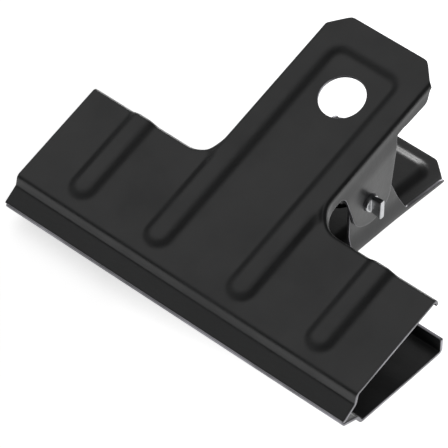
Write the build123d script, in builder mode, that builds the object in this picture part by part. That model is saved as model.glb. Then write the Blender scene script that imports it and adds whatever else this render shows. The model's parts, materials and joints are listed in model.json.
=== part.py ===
from build123d import *
from math import acos, asin, atan2, cos, degrees, hypot, radians, sin
import os

# Hinged letter clip: two pressed steel leaves that turn on one rod and are closed by a torsion spring.
# Frame: +X along the rod, +Y from the gripping lips to the handle ends, +Z up. The clip lies on the
# outside of its lower leaf, and the origin is under the middle of its bounding box.
# All sizes are in millimetres.

# Sheet
sheet = 0.6                 # thickness of both leaves
bend_radius = 0.9           # outside radius of the folds along the flanges
nose_bend_radius = 0.8      # centreline radius of the bends in the nose

# Jaw
jaw_width = 76.0
lip_reach = 37.0            # rod axis to lip, along the plate
lip_run = 3.35              # gripping strip, along the plate
lip_rise = 1.1
step_run = 1.0              # step from the gripping strip up to the plate
step_rise = 1.72
jaw_length = 25.45          # lip to the outside of the rear flange
flange_depth = 2.2          # from the plate's outside to the flange's edge
lip_gap = 0.1               # left between the closed lips

# Handle
plate_height = 9.1          # rod axis to the middle of the plate's thickness
handle_reach = 23.5         # rod axis to the handle's end
handle_width = 24.6         # outside, upper leaf
corner_radius = 4.8         # inside corners between handle and jaw
end_chamfer_across = 3.6
end_chamfer_along = 3.8
flange_end_taper = 2.0      # length over which the handle's flange fades out
hang_hole_radius = 4.2
hang_hole_reach = 10.15     # rod axis to the hole's centre

# Pressed beads
bead_height = 0.84
bead_slope = 1.7            # run of a bead's sloping side
border_width = 5.45         # long bead on each side of the sunk panel, upper leaf
panel_end = 16.6            # rod axis to the panel's far end
panel_corner_radius = 2.0
bead_front = 6.0            # lip to the beads' round front ends
side_bead_offset = 26.45
side_bead_width = 6.4

# Ears
ear_radius = 5.0
ear_shift = 0.5             # the ear's round lies this far behind the rod axis
ear_drop = 0.3              # and this far beyond it
ear_root_rear = 9.8         # rod axis to where the ear's rear edge leaves the flange
ear_clearance = 0.1         # between the outer and the inner ears

# Rod
rod_radius = 1.6
rod_clearance = 0.05        # radial, in the outer ears
rod_stub = 0.6              # round end that stands out of the outer ear
tail_length = 2.1           # flattened end beyond the stub
tail_height = 4.0
tail_thickness = 1.0

# Torsion spring
wire_radius = 0.7
coil_radius = 3.2           # to the wire's centreline
coil_pitch = 1.6            # room along the rod for each whole turn
leg_inset = 1.05            # panel's edge to the middle of the spring's leg
leg_reach = 10.5            # rod axis to the leg's end, along the plate
leg_clearance = 0.05        # between a leg's end and the sheet

# Construction
pick_distance = 0.06        # how near an edge or corner is to the size it is picked by

# Values that follow from the sizes above, in a leaf's own frame: the rod axis is the origin, the
# outside of the plate faces +Z and the lips are at -Y.
outer_half_width = handle_width / 2
inner_half_width = outer_half_width - sheet - ear_clearance
panel_half_width = outer_half_width - bend_radius - border_width
coil_half_length = panel_half_width + leg_inset
coil_turns = int(2 * coil_half_length / coil_pitch)     # the angle between the legs is added to these
plate_top = plate_height + sheet / 2
plate_bottom = plate_height - sheet / 2
lip_height = plate_height - lip_rise - step_rise
step_top_y = lip_run + step_run - lip_reach
rear_y = jaw_length - lip_reach
flange_edge = plate_top - flange_depth
flange_end_y = handle_reach - end_chamfer_along
bead_start_y = bead_front - lip_reach
bead_taper = degrees(atan2(bead_slope, bead_height))
pressed_height = sheet + bead_height    # tallest the metal stands over the inside of the plate

# The lips' inside corners meet on the plane between the leaves, less half of the gap.
lip_slope = atan2(lip_rise, lip_run)
lip_corner_y = -lip_reach + sheet / 2 * sin(lip_slope)
lip_corner_z = lip_height - sheet / 2 * cos(lip_slope)
gap_angle = degrees(asin(lip_gap / 2 / hypot(lip_corner_y, lip_corner_z)))
half_angle = degrees(atan2(lip_corner_z, -lip_corner_y)) - gap_angle
leaf_angle = 2 * half_angle

# The rod's place: the lower leaf's beads rest on Z = 0, and the box is centred along Y.
lip_front_y = -lip_reach - sheet / 2 * sin(lip_slope)
lip_front_z = lip_height + sheet / 2 * cos(lip_slope)
front_y = lip_front_y * cos(radians(leaf_angle)) - lip_front_z * sin(radians(leaf_angle))
rod_y = -(front_y + handle_reach) / 2
rod_z = plate_top + bead_height


def tee(half_width, rear, end, inside_radius):
    """The leaf's outline seen from above, from the nose's step to the handle's end."""
    right = [
        (jaw_width / 2, step_top_y),
        (jaw_width / 2, rear),
        (half_width, rear),
        (half_width, end),
    ]
    left = [(-x, y) for x, y in reversed(right)]
    with BuildSketch(mode=Mode.PRIVATE) as outline:
        with BuildLine():
            Polyline(*right, *left, close=True)
        make_face()
        inside = [v for v in outline.vertices() if abs(v.X) < jaw_width / 2 and v.Y < end - sheet]
        fillet(inside, radius=inside_radius)
    return outline.sketch


def ear(hole_radius):
    """An ear seen from the side: round at the rod, upright in front and slanting behind."""
    root_back, root_up = ear_root_rear - ear_shift, flange_edge + ear_drop
    touch_angle = atan2(root_up, root_back) - acos(ear_radius / hypot(root_up, root_back))
    with BuildSketch(mode=Mode.PRIVATE) as side_view:
        with Locations((ear_shift, -ear_drop)):
            Circle(ear_radius)
        with BuildLine():
            Polyline(
                (ear_shift, -ear_drop),
                (ear_shift - ear_radius, -ear_drop),
                (ear_shift - ear_radius, plate_top - bend_radius),
                (ear_root_rear, plate_top - bend_radius),
                (ear_root_rear, flange_edge),
                (
                    ear_shift + ear_radius * cos(touch_angle),
                    ear_radius * sin(touch_angle) - ear_drop,
                ),
                close=True,
            )
        make_face()
        Circle(hole_radius, mode=Mode.SUBTRACT)
    return side_view.sketch


def end_cuts(half_width):
    """The two triangles taken off the handle's end corners."""
    with BuildSketch(mode=Mode.PRIVATE) as corners:
        for side in (-1, 1):
            with BuildLine():
                Polyline(
                    (side * half_width, flange_end_y),
                    (side * (half_width - end_chamfer_across), handle_reach),
                    (side * half_width, handle_reach),
                    close=True,
                )
            make_face()
    return corners.sketch


def beads(half_width):
    """The feet of the pressed beads: one U round the handle's panel and one rib on each jaw side."""
    border = half_width - bend_radius - panel_half_width
    border_x = panel_half_width + border / 2
    with BuildSketch(mode=Mode.PRIVATE) as feet:
        for side in (-1, 1):
            with Locations((side * border_x, bead_start_y + border / 2)):
                Rectangle(border, handle_reach - bead_start_y, align=(Align.CENTER, Align.MIN))
                Circle(border / 2)
            with Locations((side * side_bead_offset, bead_start_y + side_bead_width / 2)):
                Rectangle(
                    side_bead_width,
                    rear_y - bend_radius - bead_start_y - side_bead_width / 2,
                    align=(Align.CENTER, Align.MIN),
                )
                Circle(side_bead_width / 2)
        with Locations((0, panel_end)):
            Rectangle(
                2 * (panel_half_width + border),
                handle_reach - panel_end + border / 2,
                align=(Align.CENTER, Align.MIN),
            )
        panel_corners = [
            v for v in feet.vertices()
            if abs(abs(v.X) - panel_half_width) < pick_distance and abs(v.Y - panel_end) < pick_distance
        ]
        fillet(panel_corners, radius=panel_corner_radius)
    return feet.sketch


def pressed_leaf(half_width, hole_radius):
    """One leaf in its own frame, with the rod hole of the given radius in both ears."""
    with BuildPart() as leaf:
        with BuildSketch(Plane.XY.offset(plate_bottom)):
            add(tee(half_width, rear_y, handle_reach, corner_radius))
        extrude(amount=sheet)

        with BuildSketch(Plane.XY.offset(flange_edge)):
            add(tee(half_width, rear_y, flange_end_y, corner_radius))
            add(
                tee(half_width - sheet, rear_y - sheet, flange_end_y, corner_radius + sheet),
                mode=Mode.SUBTRACT,
            )
        extrude(amount=flange_depth)

        # The fold is rounded where the plate turns into the rear and side flanges.
        top_edges = leaf.edges().filter_by_position(
            Axis.Z, plate_top - pick_distance, plate_top + pick_distance
        )
        fold = [
            e for e in top_edges if rear_y - pick_distance < e.center().Y < handle_reach - sheet
        ]
        fillet(fold, radius=bend_radius)

        # The side flanges fade out before the handle's cut corners.
        with BuildSketch(Plane.YZ):
            with BuildLine():
                Polyline(
                    (flange_end_y - flange_end_taper, flange_edge),
                    (flange_end_y, flange_edge),
                    (flange_end_y, plate_bottom),
                    close=True,
                )
            make_face()
        extrude(amount=half_width, both=True, mode=Mode.SUBTRACT)

        # Ears round the rod, on both sides of the handle.
        for side in (-1, 1):
            with BuildSketch(Plane.YZ.offset(side * (half_width - sheet))):
                add(ear(hole_radius))
            extrude(amount=side * sheet)

        # The nose: a step down from the plate to the gripping strip.
        with BuildSketch(Plane.YZ):
            with BuildLine():
                FilletPolyline(
                    (-lip_reach, lip_height),
                    (lip_run - lip_reach, lip_height + lip_rise),
                    (step_top_y, plate_height),
                    (bead_start_y, plate_height),
                    radius=nose_bend_radius,
                )
            trace(line_width=sheet)
        extrude(amount=jaw_width / 2, both=True)

        # The beads stand out of the outside and leave the same hollow in the inside.
        with BuildSketch(Plane.XY.offset(plate_top)):
            add(beads(half_width))
        extrude(amount=bead_height, taper=bead_taper)
        with BuildSketch(Plane.XY.offset(plate_bottom)):
            add(beads(half_width))
        extrude(amount=bead_height, taper=bead_taper, mode=Mode.SUBTRACT)

        # The handle's end is trimmed straight, with its corners cut off.
        with BuildSketch(Plane.XY.offset(plate_bottom)):
            with Locations((0, handle_reach)):
                Rectangle(handle_width, handle_reach, align=(Align.CENTER, Align.MIN))
            add(end_cuts(half_width))
        extrude(amount=pressed_height, both=True, mode=Mode.SUBTRACT)

        with BuildSketch(Plane.XY.offset(plate_bottom)):
            with Locations((0, hang_hole_reach)):
                Circle(hang_hole_radius)
        extrude(amount=pressed_height, mode=Mode.SUBTRACT)
    return leaf.part


hinge = Location((0, rod_y, rod_z))

# The lower leaf lies on its outside. Its ears are the inner ones, and they hold the rod.
with BuildPart() as lower_leaf:
    add(pressed_leaf(inner_half_width, rod_radius).moved(hinge * Location((0, 0, 0), (0, 180, 0))))
lower_leaf.part.label = "lower_leaf"

# The upper leaf is the same pressing turned over, with its ears outside.
with BuildPart() as upper_leaf:
    add(
        pressed_leaf(outer_half_width, rod_radius + rod_clearance).moved(
            hinge * Location((0, 0, 0), (leaf_angle, 0, 0))
        )
    )
upper_leaf.part.label = "upper_leaf"

# The rod: round through all four ears, with both ends flattened to a fish tail.
rod_end = outer_half_width + rod_stub
tail_root = outer_half_width + ear_clearance
with BuildPart() as hinge_rod:
    with BuildSketch(Plane.YZ.offset(-rod_end)):
        with Locations((rod_y, rod_z)):
            Circle(rod_radius)
    extrude(amount=2 * rod_end)
    with BuildSketch(Plane.XZ.offset(-rod_y)):
        for side in (-1, 1):
            with BuildLine():
                Polyline(
                    (side * tail_root, rod_z - rod_radius),
                    (side * rod_end, rod_z - rod_radius),
                    (side * (rod_end + tail_length), rod_z - tail_height / 2),
                    (side * (rod_end + tail_length), rod_z + tail_height / 2),
                    (side * rod_end, rod_z + rod_radius),
                    (side * tail_root, rod_z + rod_radius),
                    close=True,
                )
            make_face()
    extrude(amount=tail_thickness / 2, both=True)
hinge_rod.part.label = "hinge_rod"

# The spring: its left leg lies in the upper leaf's bead and its right leg in the lower leaf's.
# In its own frame the coil rises along +Z and starts on +X.
leg_drop = plate_bottom + bead_height - wire_radius - leg_clearance
leg_length = (hypot(leg_reach, leg_drop) ** 2 - coil_radius**2) ** 0.5
leg_slope = degrees(atan2(leg_drop, leg_reach) - atan2(coil_radius, leg_length))
upper_start = 90 + leaf_angle + leg_slope
lower_end = -90 - leg_slope
turns = coil_turns + (lower_end - upper_start + 360) / 360
with BuildPart() as coil_spring:
    with BuildLine():
        coil = Helix(2 * coil_half_length / turns, 2 * coil_half_length, coil_radius)
        upper_leg = Line(coil @ 0 - (coil % 0) * leg_length, coil @ 0)
        lower_leg = Line(coil @ 1, coil @ 1 + (coil % 1) * leg_length)
    with BuildSketch(Plane(origin=upper_leg @ 0, z_dir=upper_leg % 0)):
        Circle(wire_radius)
    sweep(is_frenet=True)
left_end = Plane(origin=(-coil_half_length, rod_y, rod_z), x_dir=(0, 1, 0), z_dir=(1, 0, 0))
with BuildPart() as torsion_spring:
    add(coil_spring.part.moved(left_end.location * Location((0, 0, 0), (0, 0, upper_start))))
torsion_spring.part.label = "torsion_spring"

os.makedirs("parts", exist_ok=True)
for piece in (lower_leaf, upper_leaf, hinge_rod, torsion_spring):
    export_step(piece.part, f"parts/{piece.part.label}.step")

print(f"rod axis at y {rod_y:.3f}, z {rod_z:.3f}; angle between the leaves {leaf_angle:.3f} degrees")
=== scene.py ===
import json
from math import atan2, cos, radians, sin

import bpy
import numpy as np
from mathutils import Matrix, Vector


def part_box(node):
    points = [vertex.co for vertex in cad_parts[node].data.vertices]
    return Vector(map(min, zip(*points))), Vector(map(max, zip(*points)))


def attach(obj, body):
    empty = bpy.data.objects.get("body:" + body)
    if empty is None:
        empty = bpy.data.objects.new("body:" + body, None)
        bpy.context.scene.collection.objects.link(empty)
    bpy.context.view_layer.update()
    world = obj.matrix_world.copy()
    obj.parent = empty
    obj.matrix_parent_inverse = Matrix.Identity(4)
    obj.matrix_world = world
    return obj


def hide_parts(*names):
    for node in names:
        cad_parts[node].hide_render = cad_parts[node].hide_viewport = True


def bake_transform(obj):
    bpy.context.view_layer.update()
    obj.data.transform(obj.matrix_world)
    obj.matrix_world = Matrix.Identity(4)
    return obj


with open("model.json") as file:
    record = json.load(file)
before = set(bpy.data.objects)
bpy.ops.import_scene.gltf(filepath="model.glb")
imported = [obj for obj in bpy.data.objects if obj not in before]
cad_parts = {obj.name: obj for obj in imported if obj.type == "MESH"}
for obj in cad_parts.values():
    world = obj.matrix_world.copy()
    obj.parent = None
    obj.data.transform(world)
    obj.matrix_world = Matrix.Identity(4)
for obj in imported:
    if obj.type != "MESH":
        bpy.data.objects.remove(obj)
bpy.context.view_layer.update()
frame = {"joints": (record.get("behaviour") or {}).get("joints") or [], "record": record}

# The pressed leaves. Each is one stamping of 0.6 mm cold-rolled steel: a blank cut to a T, with four
# beads and a stepped nose pressed into it and its edges folded over to stiffen it. The lower leaf's ears
# go inside the upper one's, and each leaf has its own flange, panel and cut corners. Sizes are millimetres
# in the leaf's own frame: the rod's axis is the origin, the lips are at -Y and the outside faces +Z.
MM = 0.001
ROD_AXIS = np.array(frame["joints"][0]["pos_m"]) / MM
upper_hole = next(m for m in frame["record"]["mounts"] if m["name"] == "hang_hole_upper")
LEAF_ANGLE = atan2(-upper_hole["axis"][1], upper_hole["axis"][2])
lower_low, lower_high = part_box("lower_leaf")

SHEET = 0.6
CUT_ROUND = 0.13    # radius of a cut edge's corners, which stand out this far past the middle sheet
JAW_HALF = lower_high.x / MM - CUT_ROUND
HANDLE_END = lower_high.y / MM - ROD_AXIS[1] - CUT_ROUND
LIP_RUN, LIP_RISE = 3.35, 1.1
STEP_RUN, STEP_RISE = 1.0, 1.72
STEP_FLAT = 1.2
JAW_LENGTH = 25.45
BEAD_HEIGHT = 0.84
PLATE = ROD_AXIS[2] - BEAD_HEIGHT - SHEET / 2
LIP = lower_low.y / MM - ROD_AXIS[1] + CUT_ROUND + SHEET / 2 * sin(atan2(LIP_RISE, LIP_RUN))
REAR = LIP - CUT_ROUND + JAW_LENGTH
NOSE_RADIUS, NOSE_PITCH = 0.8, 0.25
FOLD_RADIUS = 0.9
CORNER_RADIUS = 4.8
HOLE_Y, HOLE_RADIUS = 10.15, 4.2 + CUT_ROUND
HOLE_SQUARE = 5.5   # half the side of the square of mesh round the hang hole
END_CUT_ALONG, END_SOFT = 3.8, 0.18
PITCH = 0.45        # spacing of the mesh's rows and columns


def marks(*stops, pitch=PITCH):
    """Evenly spaced values that pass through every stop, about one pitch apart."""
    runs = [
        np.linspace(a, b, max(2, round(abs(b - a) / pitch) + 1))[:-1]
        for a, b in zip(stops, stops[1:])
    ]
    return np.append(np.concatenate(runs), stops[-1])


def rounded(corners, radius, pitch):
    """A line through the corners with each inner corner rounded to an arc that touches both runs."""
    corners = np.array(corners, float)
    pieces = [corners[:1]]
    for before, corner, after in zip(corners, corners[1:], corners[2:]):
        back = (before - corner) / np.linalg.norm(before - corner)
        ahead = (after - corner) / np.linalg.norm(after - corner)
        half = np.arccos(np.clip(back @ ahead, -1, 1)) / 2
        middle = corner + (back + ahead) / np.linalg.norm(back + ahead) * radius / np.sin(half)
        start, end = corner + back * radius / np.tan(half), corner + ahead * radius / np.tan(half)
        count = max(3, round(radius * (np.pi - 2 * half) / pitch) + 1)
        share = np.linspace(0, 1, count)[:, None]
        spokes = (start - middle) * (1 - share) + (end - middle) * share
        spokes *= radius / np.linalg.norm(spokes, axis=1, keepdims=True)
        pieces.append(middle + spokes)
    pieces.append(corners[-1:])
    bends = np.vstack(pieces)
    steps = np.linalg.norm(np.diff(bends, axis=0), axis=1)
    shortest = 1e-9
    runs = [
        a + (b - a) * np.linspace(0, 1, max(1, round(step / pitch)) + 1)[:-1, None]
        for a, b, step in zip(bends, bends[1:], steps)
        if step > shortest
    ]
    return np.vstack(runs + [bends[-1:]])


def smooth(t):
    """Zero below 0, one above 1, and an S-curve with level ends between them."""
    t = np.clip(t, 0, 1)
    return t * t * (3 - 2 * t)


BEAD_SLOPE = 2.3
BEAD_FRONT = LIP + 5.9
SIDE_BEAD, SIDE_BEAD_HALF = 26.45, 3.2      # middle of the bead across the jaw, and its half width
INNER_BEAD, INNER_BEAD_HALF = 9.25, 3.3
PANEL_RADIUS = 2.4
BORDER_START = REAR + 1.6   # the beads' height spreads over the handle from here on
BORDER_SHORT = 0.3          # to this far past the start of the side folds
BORDER_MERGE = 2.0          # size of the rounding where the beads run into that border


def bead_height(x, y, half, panel_half, panel_end):
    """How far the pressed beads lift the plate at x, y, on a handle of that half width with that panel.

    Each bead is where the distance to its outline is negative: the distance to a line along Y less the
    bead's half width, the handle's whole width behind the jaw, and outside the round-cornered panel.
    The lift rises by an S-curve over the slope's run, half of it on each side of the outline."""
    half_slope = BEAD_SLOPE / 2
    ax = np.abs(x)
    side, inner = (
        np.hypot(ax - middle, np.minimum(y - BEAD_FRONT - reach, 0)) - (reach - half_slope)
        for middle, reach in ((SIDE_BEAD, SIDE_BEAD_HALF), (INNER_BEAD, INNER_BEAD_HALF))
    )
    outline = np.minimum(side, inner)
    border = np.maximum(BORDER_START - y, ax - (half - FOLD_RADIUS + BORDER_SHORT))
    blend = np.clip(0.5 + (outline - border) / (2 * BORDER_MERGE), 0, 1)
    outline = outline * (1 - blend) + border * blend - BORDER_MERGE * blend * (1 - blend)
    across = ax - (panel_half + half_slope) + PANEL_RADIUS
    along = y - (panel_end + half_slope) + PANEL_RADIUS
    panel = (
        np.hypot(np.maximum(across, 0), np.maximum(along, 0))
        + np.minimum(np.maximum(across, along), 0)
        - PANEL_RADIUS
    )
    return BEAD_HEIGHT * smooth(0.5 - np.maximum(outline, -panel) / BEAD_SLOPE)


def end_line(x, half, cut_across):
    """The handle's end along Y at x: straight across, and falling along the cut corners. The corner
    between the two is rounded by a logarithm of summed exponentials."""
    past = np.abs(x) - (half - cut_across)
    return HANDLE_END - END_CUT_ALONG / cut_across * END_SOFT * np.logaddexp(0, past / END_SOFT)


EAR_RADIUS = 5.0 - CUT_ROUND
EAR_SHIFT, EAR_DROP = 0.5, 0.3      # the ear's round lies this far behind and below the rod's axis
EAR_REAR = 9.8
EAR_SPLIT = 4.6                     # height at which the ear's mesh changes from rows to rings
EAR_FRONT_FILLET, EAR_REAR_FILLET = 1.3, 0.7
EAR_LEAD_IN, EAR_LEAD_OUT = 0.2, 2.5
ROD_HOLE = 1.65 + CUT_ROUND
JOG_DEPTH = 4.0
FADE_SHARE = 0.97                   # how much of the flange's height is gone where it fades out
CORNER_STEPS, FOLD_STEPS, WALL_STEPS = 16, 7, 9
HOLE_STEPS, RING_STEPS = 7, 8
EAR_FRONT_STEPS, EAR_ROUND_STEPS, EAR_REAR_STEPS = 9, 36, 20
FACING_OUT = 0.99
TOUCH = 1e-6


def surface(patches, x, y, z):
    """Adds a grid of points to the patches of a leaf."""
    patches.append(np.stack(np.broadcast_arrays(x, y, z), axis=-1).astype(float))


def leaf_middle(
    half, jog, cut_across, rear_edge, ear_root, end_edge, fade_length, panel_half, panel_end
):
    """The middle surface of a leaf, as grids of points on its +X half and over its whole width.

    half is the handle's half width outside at the plate, jog how far the ears stand outside that, and
    cut_across how much of the width each cut corner takes at the handle's end. rear_edge, ear_root and
    end_edge are the heights of the flange's edge behind the jaw, at the ear and at the handle's end,
    where it fades out over fade_length. panel_half is the sunk panel's half width, and panel_end is
    where it ends."""
    whole, right = [], []

    def lift(x, y):
        """The beads' height on this leaf."""
        return bead_height(x, y, half, panel_half, panel_end)

    start = half - FOLD_RADIUS
    bend = FOLD_RADIUS - SHEET / 2
    centre_x, centre_y = half + CORNER_RADIUS, REAR + CORNER_RADIUS
    sweep = np.linspace(0, np.pi / 2, CORNER_STEPS)
    arc_x = centre_x - (CORNER_RADIUS + FOLD_RADIUS) * np.sin(sweep)
    arc_y = centre_y - (CORNER_RADIUS + FOLD_RADIUS) * np.cos(sweep)
    wing = marks(JAW_HALF, centre_x)
    middle = marks(start, HOLE_SQUARE, -HOLE_SQUARE, -start)[::-1]
    centre = np.concatenate([-arc_x[:-1], middle, arc_x[-2::-1]])
    across = np.concatenate([-wing[:-1], centre, wing[-2::-1]])

    # Nose and jaw: one section along Y, carried across the whole width.
    section = rounded(
        [
            (LIP, PLATE - LIP_RISE - STEP_RISE),
            (LIP + LIP_RUN, PLATE - STEP_RISE),
            (LIP + LIP_RUN + STEP_RUN, PLATE),
            (LIP + LIP_RUN + STEP_RUN + STEP_FLAT, PLATE),
        ],
        NOSE_RADIUS,
        NOSE_PITCH,
    )
    plate_y = marks(section[-1, 0], arc_y[0])[1:]
    jaw_y = np.append(section[:, 0], plate_y)
    jaw_z = np.append(section[:, 1], np.full(len(plate_y), PLATE))
    surface(whole, across, jaw_y[:, None], jaw_z[:, None] + lift(across, jaw_y[:, None]))

    # Neck: columns that end on the round inside corners.
    top = np.concatenate([arc_y[:-1], np.full(len(middle), centre_y), arc_y[-2::-1]])
    share = np.linspace(0, 1, round((centre_y - arc_y[0]) / PITCH) + 1)[:, None]
    neck_y = arc_y[0] + (top - arc_y[0]) * share
    surface(whole, centre, neck_y, PLATE + lift(centre, neck_y))

    # Handle: rows up to the hole's square, beside it, and on to the end line.
    low_y, high_y = HOLE_Y - HOLE_SQUARE, HOLE_Y + HOLE_SQUARE
    before = marks(centre_y, low_y)
    beside = marks(low_y, high_y)
    after = np.linspace(0, 1, round((HANDLE_END - high_y) / PITCH) + 1)
    surface(whole, middle, before[:, None], PLATE + lift(middle, before[:, None]))
    outer = middle[middle > HOLE_SQUARE - TOUCH]
    for strip in (outer, -outer[::-1]):
        surface(whole, strip, beside[:, None], PLATE + lift(strip, beside[:, None]))
    end_y = high_y + (end_line(middle, half, cut_across) - high_y) * after[:, None]
    surface(whole, middle, end_y, PLATE + lift(middle, end_y))

    # Hang hole: rings that go from the square round it to the circle.
    side = middle[np.abs(middle) < HOLE_SQUARE + TOUCH]
    side_y = beside - HOLE_Y
    square = np.vstack(
        [
            np.column_stack([side, np.full(len(side), -HOLE_SQUARE)])[:-1],
            np.column_stack([np.full(len(side_y), HOLE_SQUARE), side_y])[:-1],
            np.column_stack([side[::-1], np.full(len(side), HOLE_SQUARE)])[:-1],
            np.column_stack([np.full(len(side_y), -HOLE_SQUARE), side_y[::-1]]),
        ]
    )
    circle = square / np.linalg.norm(square, axis=1, keepdims=True) * HOLE_RADIUS
    rings = np.linspace(1, 0, HOLE_STEPS)[:, None, None]
    hole = circle + (square - circle) * rings
    hole_y = hole[..., 1] + HOLE_Y
    surface(whole, hole[..., 0], hole_y, PLATE + lift(hole[..., 0], hole_y))

    # Fold: a quarter bend off the plate's edge, along the jaw's rear, the corner and the handle.
    handle_y = np.concatenate([before, beside[1:], np.full(len(after) - 1, high_y)])
    edge_x = np.concatenate([wing[:-1], arc_x[:-1], np.full(len(handle_y), start)])
    edge_y = np.concatenate([np.full(len(wing) - 1, arc_y[0]), arc_y[:-1], handle_y])
    turn = np.concatenate([np.zeros(len(wing) - 1), sweep[:-1], np.full(len(handle_y), np.pi / 2)])
    end_share = np.concatenate([np.zeros(len(edge_x) - len(after) + 1), after[1:]])
    out_x, out_y = np.sin(turn), np.cos(turn)
    edge_end = edge_y + (end_line(edge_x, half, cut_across) - high_y) * end_share
    edge_z = PLATE + lift(edge_x, edge_end)

    def outward(distance):
        """Points that far outside the fold's start, kept short of the handle's end line."""
        x, y = edge_x + out_x * distance, edge_y + out_y * distance
        return x, y + (end_line(x, half, cut_across) - high_y) * end_share

    quarter = np.linspace(0, np.pi / 2, FOLD_STEPS)[:, None]
    fold_x, fold_y = outward(bend * np.sin(quarter))
    surface(right, fold_x, fold_y, edge_z - bend * (1 - np.cos(quarter)))

    # Side wall: from the fold down to the flange's edge, and at the ear down to its split line.
    wall_x, wall_y = fold_x[-1], fold_y[-1]
    wall_top = edge_z - bend
    on_handle = out_x > FACING_OUT
    fade = smooth((wall_y - wall_y[-1] + fade_length) / fade_length) * on_handle
    edge = np.interp(wall_y, (EAR_REAR, HANDLE_END - END_CUT_ALONG), (ear_root, end_edge))
    on_side = smooth(turn / (np.pi / 2))
    edge = rear_edge + (edge - rear_edge) * on_side
    edge += (wall_top - edge) * fade**2 * FADE_SHARE
    ear_middle = np.array([EAR_SHIFT, -EAR_DROP])
    root = np.array([EAR_REAR, ear_root]) - ear_middle
    touch_angle = atan2(root[1], root[0]) - np.arccos(EAR_RADIUS / np.linalg.norm(root))
    touch = ear_middle + EAR_RADIUS * np.array([cos(touch_angle), sin(touch_angle)])
    rear_slope = (EAR_REAR - touch[0]) / (ear_root - touch[1])
    split_rear = touch[0] + rear_slope * (EAR_SPLIT - touch[1])
    front_y = EAR_SHIFT - EAR_RADIUS
    forward = rounded(
        [
            (front_y - EAR_FRONT_FILLET - EAR_LEAD_IN, ear_root),
            (front_y, ear_root),
            (front_y, EAR_SPLIT),
        ],
        EAR_FRONT_FILLET,
        PITCH / 4,
    )
    rear = rounded(
        [
            (split_rear, EAR_SPLIT),
            (EAR_REAR, ear_root),
            (EAR_REAR + EAR_LEAD_OUT, ear_root),
        ],
        EAR_REAR_FILLET,
        PITCH / 4,
    )
    outline = np.vstack([forward, rear])
    length = np.append(0, np.cumsum(np.linalg.norm(np.diff(outline, axis=0), axis=1)))
    on_ear = on_handle & (wall_y > outline[0, 0]) & (wall_y < outline[-1, 0])
    ear_share = (wall_y[on_ear] - outline[0, 0]) / (outline[-1, 0] - outline[0, 0]) * length[-1]
    stops = length[len(forward) - 1], length[len(forward)]
    for stop in stops:
        nearest = np.argmin(np.abs(ear_share - stop))
        ear_share[nearest] = stop
    bottom_y, bottom_z = wall_y.copy(), edge.copy()
    bottom_y[on_ear] = np.interp(ear_share, length, outline[:, 0])
    bottom_z[on_ear] = np.interp(ear_share, length, outline[:, 1])
    down = np.linspace(0, 1, WALL_STEPS)[:, None]
    side_z = wall_top + (bottom_z - wall_top) * down
    side_y = wall_y + (bottom_y - wall_y) * down
    shift = jog * on_side * smooth((wall_top - side_z) / JOG_DEPTH)
    surface(right, wall_x + out_x * shift, side_y + out_y * shift, side_z)

    # Ear: rings from its outline below the split line in to the rod's hole.
    split = np.flatnonzero(on_ear)[(ear_share > stops[0] - TOUCH) & (ear_share < stops[1] + TOUCH)]
    front_z = np.linspace(EAR_SPLIT, -EAR_DROP, EAR_FRONT_STEPS)[1:-1]
    front = np.column_stack([np.full(len(front_z), front_y), front_z])
    under = np.linspace(-np.pi, touch_angle, EAR_ROUND_STEPS)
    under = ear_middle + EAR_RADIUS * np.column_stack([np.cos(under), np.sin(under)])
    climb = np.linspace(0, 1, EAR_REAR_STEPS)[1:-1, None]
    back = under[-1] + (np.array([split_rear, EAR_SPLIT]) - under[-1]) * climb
    split_line = np.column_stack([bottom_y[split], bottom_z[split]])
    loop = np.vstack([split_line[:1], front, under, back, split_line[::-1]])
    bore = loop / np.linalg.norm(loop, axis=1, keepdims=True) * ROD_HOLE
    ear = bore + (loop - bore) * np.linspace(0, 1, RING_STEPS)[:, None, None]
    ear_x = wall_x[split[0]] + jog * smooth((wall_top[split[0]] - ear[..., 1]) / JOG_DEPTH)
    surface(right, ear_x, ear[..., 0], ear[..., 1])
    return whole, right


WELD = 2e-4             # width of the cells of space whose points become one
WELD_OFFSET = 0.1234    # keeps round sizes off the borders between cells


def weld(patches):
    """Joins grids of points into one sheet. Points in the same cell of space, WELD wide, become one, and
    each cell of a grid becomes a face, except where it has no area."""
    points, faces, count = [], [], 0
    for grid in patches:
        rows, columns = grid.shape[:2]
        index = count + np.arange(rows * columns).reshape(rows, columns)
        cells = [index[:-1, :-1], index[:-1, 1:], index[1:, 1:], index[1:, :-1]]
        faces.append(np.stack(cells, axis=-1).reshape(-1, 4))
        points.append(grid.reshape(-1, 3))
        count += rows * columns
    points, faces = np.vstack(points), np.vstack(faces)
    cells = np.floor(points / WELD + WELD_OFFSET)
    _, first, same = np.unique(cells, axis=0, return_index=True, return_inverse=True)
    faces = same.reshape(-1)[faces]
    area = np.cross(
        points[first][faces[:, 2]] - points[first][faces[:, 0]],
        points[first][faces[:, 3]] - points[first][faces[:, 1]],
    )
    return points[first], faces[np.linalg.norm(area, axis=1) > WELD**2]


LEAN_START = 4.0


def leaf_sheet(half, lean, **details):
    """The leaf's middle surface as points and faces, with the outside as each face's front.

    Behind the ears the handle leans off square, by an S-curve that reaches lean along X at its end."""
    whole, right = leaf_middle(half, **details)
    mirror = np.array([-1, 1, 1])
    patches = whole + [grid[:, ::-1] for grid in right] + [grid * mirror for grid in right]
    points, faces = weld(patches)
    points[:, 0] += lean * smooth((points[:, 1] - LEAN_START) / (HANDLE_END - LEAN_START))
    return points, faces


ROUND_STEPS = 4


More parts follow.
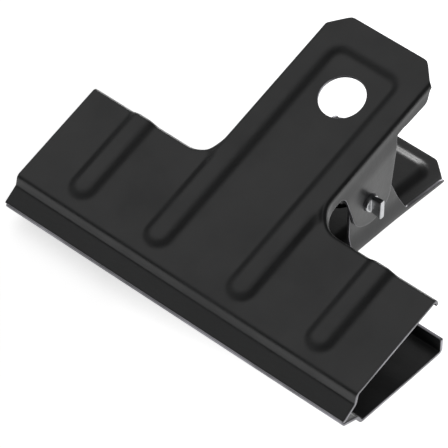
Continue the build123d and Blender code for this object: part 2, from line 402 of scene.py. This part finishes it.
def solidify(points, faces):
    """Gives the middle sheet its thickness: each point moves half the thickness both ways along its
    normal, and along every open edge a rim of two quarter rounds joins the two sides.

    Returns the points, the faces and a mask that is 1 on the cut edge and 0 on the rolled faces."""
    corners = points[faces]
    face_normals = np.cross(corners[:, 2] - corners[:, 0], corners[:, 3] - corners[:, 1])
    normals = np.zeros_like(points)
    for corner in range(4):
        np.add.at(normals, faces[:, corner], face_normals)
    normals /= np.linalg.norm(normals, axis=1, keepdims=True)

    sides = np.stack([faces, np.roll(faces, -1, axis=1)], axis=-1).reshape(-1, 2)
    sides = sides[sides[:, 0] != sides[:, 1]]
    code = np.sort(sides, axis=1) @ np.array([len(points), 1])
    _, inverse, uses = np.unique(code, return_inverse=True, return_counts=True)
    rim = sides[uses[inverse.reshape(-1)] == 1]
    along = points[rim[:, 1]] - points[rim[:, 0]]
    outward = np.zeros_like(points)
    for end in range(2):
        np.add.at(outward, rim[:, end], np.cross(along, normals[rim[:, end]]))
    edge_points = np.unique(rim)
    place = np.full(len(points), -1)
    place[edge_points] = np.arange(len(edge_points))
    out = outward[edge_points]
    out -= normals[edge_points] * np.sum(out * normals[edge_points], axis=1, keepdims=True)
    out /= np.linalg.norm(out, axis=1, keepdims=True)

    half = SHEET / 2
    turn = np.linspace(0, np.pi / 2, ROUND_STEPS)
    profile_out = CUT_ROUND * np.concatenate([np.sin(turn), np.cos(turn)])
    profile_up = half - CUT_ROUND + CUT_ROUND * np.cos(turn)
    profile_up = np.concatenate([profile_up, -profile_up[::-1]])
    rows = (
        points[edge_points]
        + profile_out[1:-1, None, None] * out
        + profile_up[1:-1, None, None] * normals[edge_points]
    )
    count, wide = len(points), len(edge_points)
    index = 2 * count + np.arange(rows.shape[0] * wide).reshape(rows.shape[0], wide)
    index = np.vstack([edge_points, index, edge_points + count])
    start, end = place[rim[:, 0]], place[rim[:, 1]]
    rim_faces = np.stack(
        [index[:-1][:, end], index[:-1][:, start], index[1:][:, start], index[1:][:, end]], axis=-1
    )
    all_points = np.vstack([points + half * normals, points - half * normals, rows.reshape(-1, 3)])
    all_faces = np.vstack([faces, faces[:, ::-1] + count, rim_faces.reshape(-1, 4)])
    cut = np.zeros(len(all_points))
    cut[2 * count :] = 1
    return all_points, all_faces, cut


def add_mesh(name, points, faces, cut=None):
    """A mesh object from points in metres. A face with a repeated corner becomes a triangle."""
    quads = [[a for i, a in enumerate(f) if a != f[i - 1]] for f in faces.tolist()]
    mesh = bpy.data.meshes.new(name)
    mesh.from_pydata(points.tolist(), [], quads)
    mesh.polygons.foreach_set("use_smooth", [True] * len(mesh.polygons))
    if cut is not None:
        mesh.attributes.new("cut_edge", "FLOAT", "POINT").data.foreach_set("value", cut)
    mesh.update()
    piece = bpy.data.objects.new(name, mesh)
    bpy.context.scene.collection.objects.link(piece)
    return piece


def srgb(code):
    """A hex sRGB colour as linear red, green, blue and alpha."""
    parts = np.array([int(code[i : i + 2], 16) for i in (1, 3, 5)]) / 255
    linear = np.where(parts <= 0.04045, parts / 12.92, ((parts + 0.055) / 1.055) ** 2.4)
    return (*linear.tolist(), 1.0)


def add_node(tree, kind, values=None, **settings):
    """A shader node. values gives each input by name or number, as a constant or as a socket."""
    node = tree.nodes.new(kind)
    for key, value in settings.items():
        setattr(node, key, value)
    for key, value in (values or {}).items():
        if isinstance(value, bpy.types.NodeSocket):
            tree.links.new(value, node.inputs[key])
        else:
            node.inputs[key].default_value = value
    return node


def new_material(name):
    """An empty node material with its output node."""
    material = bpy.data.materials.new(name)
    material.use_nodes = True
    material.node_tree.nodes.clear()
    return material, material.node_tree, add_node(material.node_tree, "ShaderNodeOutputMaterial")


# Satin black baked enamel over steel. The coat is a little uneven, so its sheen varies in patches about
# 11 mm across. It has slow waves of 4.5 mm, an orange peel of 0.7 mm and a few dust nibs, and it pulls
# thin on the cut edges, where the steel shows.
PATCHES_PER_METRE, WAVES_PER_METRE = 90.0, 220.0
PEEL_PER_METRE, NIBS_PER_METRE, NIB_REACH = 1500.0, 420.0, 0.09
WAVE_HEIGHT, PEEL_HEIGHT, NIB_HEIGHT = 0.00003, 0.00002, 0.000018
enamel, tree, output = new_material("leaf_enamel")
place = add_node(tree, "ShaderNodeTexCoord").outputs["Object"]
patches = add_node(
    tree,
    "ShaderNodeTexNoise",
    {"Vector": place, "Scale": PATCHES_PER_METRE, "Detail": 3.0, "Roughness": 0.6},
).outputs["Fac"]
peel = add_node(
    tree,
    "ShaderNodeTexNoise",
    {"Vector": place, "Scale": PEEL_PER_METRE, "Detail": 2.0, "Roughness": 0.5},
).outputs["Fac"]
wave = add_node(
    tree,
    "ShaderNodeTexNoise",
    {"Vector": place, "Scale": WAVES_PER_METRE, "Detail": 1.0, "Roughness": 0.5},
).outputs["Fac"]
nib_distance = add_node(
    tree, "ShaderNodeTexVoronoi", {"Vector": place, "Scale": NIBS_PER_METRE}
).outputs["Distance"]
nib = add_node(
    tree,
    "ShaderNodeMapRange",
    {"Value": nib_distance, "From Min": 0.0, "From Max": NIB_REACH, "To Min": 1.0, "To Max": 0.0},
).outputs["Result"]
edge = add_node(tree, "ShaderNodeAttribute", attribute_name="cut_edge").outputs["Fac"]
wear = add_node(
    tree,
    "ShaderNodeMapRange",
    {"Value": patches, "From Min": 0.35, "From Max": 0.62, "To Min": 0.35, "To Max": 1.0},
).outputs["Result"]
thin = add_node(tree, "ShaderNodeMath", {0: edge, 1: wear}, operation="MULTIPLY").outputs["Value"]
tint = add_node(
    tree,
    "ShaderNodeMix",
    {"Factor": patches, "A": srgb("#0A0B0B"), "B": srgb("#232425")},
    data_type="RGBA",
).outputs["Result"]
tint = add_node(
    tree, "ShaderNodeMix", {"Factor": thin, "A": tint, "B": srgb("#96959A")}, data_type="RGBA"
).outputs["Result"]
gloss = add_node(
    tree,
    "ShaderNodeMapRange",
    {"Value": patches, "From Min": 0.3, "From Max": 0.7, "To Min": 0.29, "To Max": 0.48},
).outputs["Result"]
height = add_node(
    tree, "ShaderNodeMath", {0: wave, 1: WAVE_HEIGHT}, operation="MULTIPLY"
).outputs["Value"]
for pattern, rise in ((nib, NIB_HEIGHT), (peel, PEEL_HEIGHT)):
    height = add_node(
        tree, "ShaderNodeMath", {0: pattern, 1: rise, 2: height}, operation="MULTIPLY_ADD"
    ).outputs["Value"]
bump = add_node(
    tree, "ShaderNodeBump", {"Height": height, "Distance": 1.0, "Strength": 1.0}
).outputs["Normal"]
coat = add_node(
    tree,
    "ShaderNodeBsdfPrincipled",
    {"Base Color": tint, "Roughness": gloss, "Metallic": thin, "Normal": bump},
).outputs["BSDF"]
tree.links.new(coat, output.inputs["Surface"])


def to_world(points, angle, turned):
    """Points of a leaf's own frame, in millimetres, as points of the whole clip's frame, in metres.
    turned lays the leaf on its outside, and angle turns it about the rod, to y cos - z sin and
    y sin + z cos."""
    if turned:
        points = points * np.array([-1, 1, -1])
    y = points[:, 1] * cos(angle) - points[:, 2] * sin(angle)
    z = points[:, 1] * sin(angle) + points[:, 2] * cos(angle)
    return (np.column_stack([points[:, 0], y, z]) + ROD_AXIS) * MM


LOWER_LEAF = {
    "half": 12.4,
    "lean": -0.4,
    "jog": -0.82,
    "cut_across": 4.6,
    "rear_edge": 6.2,
    "ear_root": 8.8,
    "end_edge": 9.0,
    "fade_length": 1.2,
    "panel_half": 7.2,
    "panel_end": 19.45,
}
UPPER_LEAF = {
    "half": 11.85,
    "lean": 0.0,
    "jog": 0.46,
    "cut_across": 3.6,
    "rear_edge": 7.7,
    "ear_root": 7.8,
    "end_edge": 7.3,
    "fade_length": 3.2,
    "panel_half": 5.95,
    "panel_end": 16.6,
}
for name, body, sizes, angle, turned in (
    ("lower_leaf_shell", "lower_jaw", LOWER_LEAF, 0.0, True),
    ("upper_leaf_shell", "upper_jaw", UPPER_LEAF, LEAF_ANGLE, False),
):
    points, faces, cut = solidify(*leaf_sheet(**sizes))
    leaf = add_mesh(name, to_world(points, angle, turned), faces, cut)
    leaf.data.materials.append(enamel)
    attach(leaf, body)
    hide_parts(name.replace("_shell", ""))


# The hinge rod: a 3.2 mm steel pin, zinc plated. It is held tight in the lower leaf's ears and turns in
# the upper leaf's. Both ends are nipped flat after assembly, which spreads them to a fish tail.
ROD_RADIUS, ROD_SHOULDER, ROD_END = 1.6, 12.9, 15.0
TAIL_HALF_HEIGHT, TAIL_HALF_THICK, TAIL_STEPS = 2.0, 0.5, 8
AROUND_STEPS = 97
around = np.linspace(0, 2 * np.pi, AROUND_STEPS)[:-1]


def skin(rows):
    """Faces over rings of points, each ring a closed loop. The first and last rings should each lie on
    one point, so that nothing gapes. Their points are not merged."""
    count, wide = rows.shape[:2]
    index = np.arange(count * wide).reshape(count, wide)
    after = np.roll(index, -1, axis=1)
    faces = np.stack([index[:-1], after[:-1], after[1:], index[1:]], axis=-1).reshape(-1, 4)
    return rows.reshape(-1, 3), faces


def rod_section(x, half_y, half_z, power):
    """One ring of the rod: a superellipse, |y/a|^n + |z/b|^n = 1, where n = 2 is round."""
    c, s = np.cos(around), np.sin(around)
    scale = (np.abs(c) ** power + np.abs(s) ** power) ** (-1 / power)
    return np.column_stack([np.full(len(around), x), half_y * c * scale, half_z * s * scale])


# Rings from the rod's middle to its +X end: place along X, half size along Y, along Z, and the power.
tail = np.linspace(0, 1, TAIL_STEPS)
half_rod = [
    (0.0, ROD_RADIUS, ROD_RADIUS, 2),
    (ROD_SHOULDER - 0.9, ROD_RADIUS, ROD_RADIUS, 2),
    (ROD_SHOULDER - 0.25, ROD_RADIUS, ROD_RADIUS, 2),
    (ROD_SHOULDER - 0.12, ROD_RADIUS - 0.03, ROD_RADIUS, 2),
    (ROD_SHOULDER - 0.03, ROD_RADIUS - 0.12, ROD_RADIUS, 2),
    (ROD_SHOULDER, ROD_RADIUS - 0.25, ROD_RADIUS, 2.2),
    (ROD_SHOULDER + 0.02, TAIL_HALF_THICK + 0.12, ROD_RADIUS, 5),
    (ROD_SHOULDER + 0.12, TAIL_HALF_THICK, ROD_RADIUS + 0.06, 7),
]
half_rod += [
    (x, TAIL_HALF_THICK, z, 8)
    for x, z in zip(
        ROD_SHOULDER + 0.2 + (ROD_END - ROD_SHOULDER - 0.3) * tail,
        ROD_RADIUS + 0.1 + (TAIL_HALF_HEIGHT - ROD_RADIUS - 0.1) * tail ** 0.8,
    )
]
half_rod += [
    (ROD_END - 0.03, TAIL_HALF_THICK - 0.04, TAIL_HALF_HEIGHT - 0.05, 8),
    (ROD_END, TAIL_HALF_THICK - 0.12, TAIL_HALF_HEIGHT - 0.14, 8),
    (ROD_END, 0.0, 0.0, 8),
]
stations = [(-x, y, z, n) for x, y, z, n in half_rod[::-1]] + half_rod[1:]
rings = np.stack([rod_section(*station) for station in stations])
points, faces = skin(rings)
rod = add_mesh("hinge_rod_pin", (points + ROD_AXIS) * MM, faces)

# Bright zinc plate on a drawn pin. It is a little cloudy, in patches of 2 mm, and fine drawing lines run
# along it, 0.4 mm apart, which is coarser than the real ones so that they show.
CLOUDS_PER_METRE, LINES_PER_METRE, LINES_ALONG, LINE_DEPTH = 500.0, 2500.0, 60.0, 0.00001
zinc, tree, output = new_material("bright_zinc_plate")
place = add_node(tree, "ShaderNodeTexCoord").outputs["Object"]
cloud = add_node(
    tree,
    "ShaderNodeTexNoise",
    {"Vector": place, "Scale": CLOUDS_PER_METRE, "Detail": 4.0, "Roughness": 0.65},
).outputs["Fac"]
stretched = add_node(
    tree,
    "ShaderNodeMapping",
    {"Vector": place, "Scale": (LINES_ALONG, LINES_PER_METRE, LINES_PER_METRE)},
).outputs["Vector"]
lines = add_node(
    tree, "ShaderNodeTexNoise", {"Vector": stretched, "Scale": 1.0, "Detail": 2.0}
).outputs["Fac"]
tint = add_node(
    tree,
    "ShaderNodeMix",
    {"Factor": cloud, "A": srgb("#8F9093"), "B": srgb("#BDBEBF")},
    data_type="RGBA",
).outputs["Result"]
gloss = add_node(
    tree,
    "ShaderNodeMapRange",
    {"Value": cloud, "From Min": 0.3, "From Max": 0.7, "To Min": 0.2, "To Max": 0.38},
).outputs["Result"]
bump = add_node(
    tree, "ShaderNodeBump", {"Height": lines, "Distance": LINE_DEPTH, "Strength": 0.5}
).outputs["Normal"]
coat = add_node(
    tree,
    "ShaderNodeBsdfPrincipled",
    {"Base Color": tint, "Roughness": gloss, "Metallic": 1.0, "Normal": bump},
).outputs["BSDF"]
tree.links.new(coat, output.inputs["Surface"])
rod.data.materials.append(zinc)
SHARPEST_SMOOTH = radians(38)
rod.data.set_sharp_from_angle(angle=SHARPEST_SMOOTH)
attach(rod, "lower_jaw")
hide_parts("hinge_rod")

# The torsion spring: 1.4 mm blackened wire wound in eight and a half turns about the rod. Its left leg
# presses on the upper leaf and its right leg on the lower one. On the real clip the coil winds tighter as
# the clip opens. Here it is one fixed mesh, wound for this pose, that follows neither leaf.
WIRE_RADIUS, WIRE_END_ROUND = 0.7, 0.2
COIL_RADIUS, COIL_HALF, WHOLE_TURNS = 3.2, 7.0, 8
LEG_REACH, LEG_GAP = 10.5, 0.05
COIL_STEPS, LEG_STEPS, WIRE_STEPS, CAP_STEPS = 460, 24, 25, 5

# The line of the wire: a helix about X, x even with the angle and y, z its cosine and sine, with a
# straight leg that leaves each of its ends along the tangent.
leg_drop = PLATE - SHEET / 2 + BEAD_HEIGHT - WIRE_RADIUS - LEG_GAP
leg_length = (LEG_REACH**2 + leg_drop**2 - COIL_RADIUS**2) ** 0.5
leg_slope = atan2(leg_drop, LEG_REACH) - atan2(COIL_RADIUS, leg_length)
first = np.pi / 2 + LEAF_ANGLE + leg_slope
wound = 2 * np.pi * WHOLE_TURNS + 2 * np.pi - np.pi / 2 - leg_slope - first
share = np.linspace(0, 1, COIL_STEPS)
coil = np.column_stack(
    [
        COIL_HALF * (2 * share - 1),
        COIL_RADIUS * np.cos(first + wound * share),
        COIL_RADIUS * np.sin(first + wound * share),
    ]
)
ahead = np.column_stack([np.full(len(coil), 2 * COIL_HALF / wound), -coil[:, 2], coil[:, 1]])
ahead /= np.linalg.norm(ahead, axis=1, keepdims=True)
leave, arrive = -ahead[0], ahead[-1]
reach = leg_length * np.linspace(0, 1, LEG_STEPS)[:, None]
path = np.vstack([(coil[0] + leave * reach)[:0:-1], coil, (coil[-1] + arrive * reach)[1:]])

# The wire: a circle square to the line at each of its points, and both ends rounded by a quarter turn.
ahead = np.gradient(path, axis=0)
ahead /= np.linalg.norm(ahead, axis=1, keepdims=True)
aside = np.cross(ahead, [1.0, 0.0, 0.0])
aside /= np.linalg.norm(aside, axis=1, keepdims=True)
above = np.cross(ahead, aside)
turn = np.linspace(0, 2 * np.pi, WIRE_STEPS)[:-1]
ring = np.cos(turn)[:, None, None] * aside + np.sin(turn)[:, None, None] * above
ring = ring.transpose(1, 0, 2)
tube = path[:, None] + WIRE_RADIUS * ring
cap = np.linspace(np.pi / 2, 0, CAP_STEPS)[:-1, None, None]
cap_radius = WIRE_RADIUS - WIRE_END_ROUND + WIRE_END_ROUND * np.cos(cap)
ends = [
    path[end] + side * ahead[end] * WIRE_END_ROUND * (np.sin(cap) - 1) + ring[end] * cap_radius
    for end, side in ((0, -1), (-1, 1))
]
first_cap = np.vstack([np.broadcast_to(path[0], tube[:1].shape), ends[0]])
last_cap = np.vstack([ends[1][::-1], np.broadcast_to(path[-1], tube[:1].shape)])
from_ends = [np.linalg.norm(path - path[end], axis=1) for end in (0, -1)]
keep = np.minimum(*from_ends) > WIRE_END_ROUND
points, faces = skin(np.vstack([first_cap, tube[keep], last_cap]))
spring = add_mesh("torsion_spring_wire", (points + ROD_AXIS) * MM, faces)

# Black oxide on drawn spring wire: a thin dull black conversion coat, greyer where it has rubbed, in
# patches of 3 mm, over a fine grain of 0.4 mm.
GRIME_PER_METRE, GRAIN_PER_METRE, GRAIN_DEPTH = 350.0, 2600.0, 0.000008
wire, tree, output = new_material("black_oxide_spring_wire")
place = add_node(tree, "ShaderNodeTexCoord").outputs["Object"]
grime = add_node(
    tree,
    "ShaderNodeTexNoise",
    {"Vector": place, "Scale": GRIME_PER_METRE, "Detail": 4.0, "Roughness": 0.6},
).outputs["Fac"]
grain = add_node(
    tree,
    "ShaderNodeTexNoise",
    {"Vector": place, "Scale": GRAIN_PER_METRE, "Detail": 2.0, "Roughness": 0.5},
).outputs["Fac"]
tint = add_node(
    tree,
    "ShaderNodeMix",
    {"Factor": grime, "A": srgb("#2B2B2C"), "B": srgb("#434344")},
    data_type="RGBA",
).outputs["Result"]
gloss = add_node(
    tree,
    "ShaderNodeMapRange",
    {"Value": grime, "From Min": 0.3, "From Max": 0.7, "To Min": 0.3, "To Max": 0.5},
).outputs["Result"]
bump = add_node(
    tree, "ShaderNodeBump", {"Height": grain, "Distance": GRAIN_DEPTH, "Strength": 0.6}
).outputs["Normal"]
coat = add_node(
    tree,
    "ShaderNodeBsdfPrincipled",
    {"Base Color": tint, "Roughness": gloss, "Metallic": 1.0, "Normal": bump},
).outputs["BSDF"]
tree.links.new(coat, output.inputs["Surface"])
spring.data.materials.append(wire)
left, right = ROD_AXIS * MM, ROD_AXIS * MM
left[0], right[0] = -COIL_HALF * MM, COIL_HALF * MM
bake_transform(spring)
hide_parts("torsion_spring")

# The camera stands at the front right, at 45 degrees, with a long lens.
CAMERA = Vector(ROD_AXIS * MM) + Vector((0.28439, -0.34425, 0.43909))
AIM = Vector(ROD_AXIS * MM) + Vector((-0.00717, -0.015355, -0.00664))
FOCAL_LENGTH, SENSOR_WIDTH = 294.57, 36.0
lens = bpy.data.cameras.new("camera")
lens.lens, lens.sensor_width = FOCAL_LENGTH, SENSOR_WIDTH
lens.clip_start, lens.clip_end = 0.01, 10.0
camera = bpy.data.objects.new("camera", lens)
camera.location = CAMERA
camera.rotation_euler = (AIM - CAMERA).to_track_quat("-Z", "Y").to_euler()
bpy.context.scene.collection.objects.link(camera)
bpy.context.scene.camera = camera

# A plain white table top of matt laminate under the clip. Its glow is painted light, as if from a light
# table
# below it: stronger to the right and behind, where the ears mirror it, and weaker towards the front left.
FLOOR_HALF = 1.5
GLOW_SIDE, GLOW_REACH, GLOW_LEAST, GLOW_MOST = (0.8, 0.6, 0.0), 0.03, 0.68, 1.25
FIBRES_PER_METRE = 300.0
mesh = bpy.data.meshes.new("floor")
floor_corners = [(x * FLOOR_HALF, y * FLOOR_HALF, 0) for x, y in ((-1, -1), (1, -1), (1, 1), (-1, 1))]
mesh.from_pydata(floor_corners, [], [(0, 1, 2, 3)])
floor = bpy.data.objects.new("floor", mesh)
bpy.context.scene.collection.objects.link(floor)
white, tree, output = new_material("white_table_top")
place = add_node(tree, "ShaderNodeTexCoord").outputs["Object"]
fibre = add_node(
    tree, "ShaderNodeTexNoise", {"Vector": place, "Scale": FIBRES_PER_METRE, "Detail": 3.0}
).outputs["Fac"]
tint = add_node(
    tree,
    "ShaderNodeMix",
    {"Factor": fibre, "A": srgb("#F4F4F4"), "B": srgb("#F9F9F9")},
    data_type="RGBA",
).outputs["Result"]
sideways = add_node(
    tree, "ShaderNodeVectorMath", {0: place, 1: GLOW_SIDE}, operation="DOT_PRODUCT"
).outputs["Value"]
# Painted light: how strongly the table top glows, rising from the front left to the right and behind.
painted_glow = add_node(
    tree,
    "ShaderNodeMapRange",
    {
        "Value": sideways,
        "From Min": -GLOW_REACH,
        "From Max": GLOW_REACH,
        "To Min": GLOW_LEAST,
        "To Max": GLOW_MOST,
    },
).outputs["Result"]
coat = add_node(
    tree,
    "ShaderNodeBsdfPrincipled",
    {
        "Base Color": tint,
        "Roughness": 0.9,
        "Emission Color": srgb("#FFFFFF"),
        "Emission Strength": painted_glow,
    },
).outputs["BSDF"]
tree.links.new(coat, output.inputs["Surface"])
mesh.materials.append(white)

# Soft studio light: a white tent that is bright above the clip and dim near the horizon, and a soft box
# low behind it, which lights the edges at the back of the jaw and the inside of the lower handle.
TENT_TOP, TENT_FROM, TENT_TO = (-0.42, -0.06, 0.90), 0.64, 0.98
TENT_DIM, TENT_BRIGHT = 0.13, 0.9
BOX_PLACE, BOX_SIZE, BOX_POWER = Vector((-0.38, 0.70, 0.14)), 0.25, 1.5
world = bpy.data.worlds.new("tent")
world.use_nodes = True
tree = world.node_tree
tree.nodes.clear()
ray = add_node(tree, "ShaderNodeTexCoord").outputs["Generated"]
nearness = add_node(
    tree, "ShaderNodeVectorMath", {0: ray, 1: TENT_TOP}, operation="DOT_PRODUCT"
).outputs["Value"]
level = add_node(
    tree,
    "ShaderNodeMapRange",
    {
        "Value": nearness,
        "From Min": TENT_FROM,
        "From Max": TENT_TO,
        "To Min": TENT_DIM,
        "To Max": TENT_BRIGHT,
    },
    interpolation_type="SMOOTHSTEP",
).outputs["Result"]
glow = add_node(
    tree, "ShaderNodeBackground", {"Color": srgb("#FFFFFF"), "Strength": level}
).outputs["Background"]
add_node(tree, "ShaderNodeOutputWorld", {"Surface": glow})
bpy.context.scene.world = world
bpy.context.scene.view_settings.view_transform = "Standard"
light = bpy.data.lights.new("back_strip", "AREA")
light.size, light.energy = BOX_SIZE, BOX_POWER
lamp = bpy.data.objects.new("back_strip", light)
lamp.location = BOX_PLACE
lamp.rotation_euler = (AIM - BOX_PLACE).to_track_quat("-Z", "Y").to_euler()
bpy.context.scene.collection.objects.link(lamp)
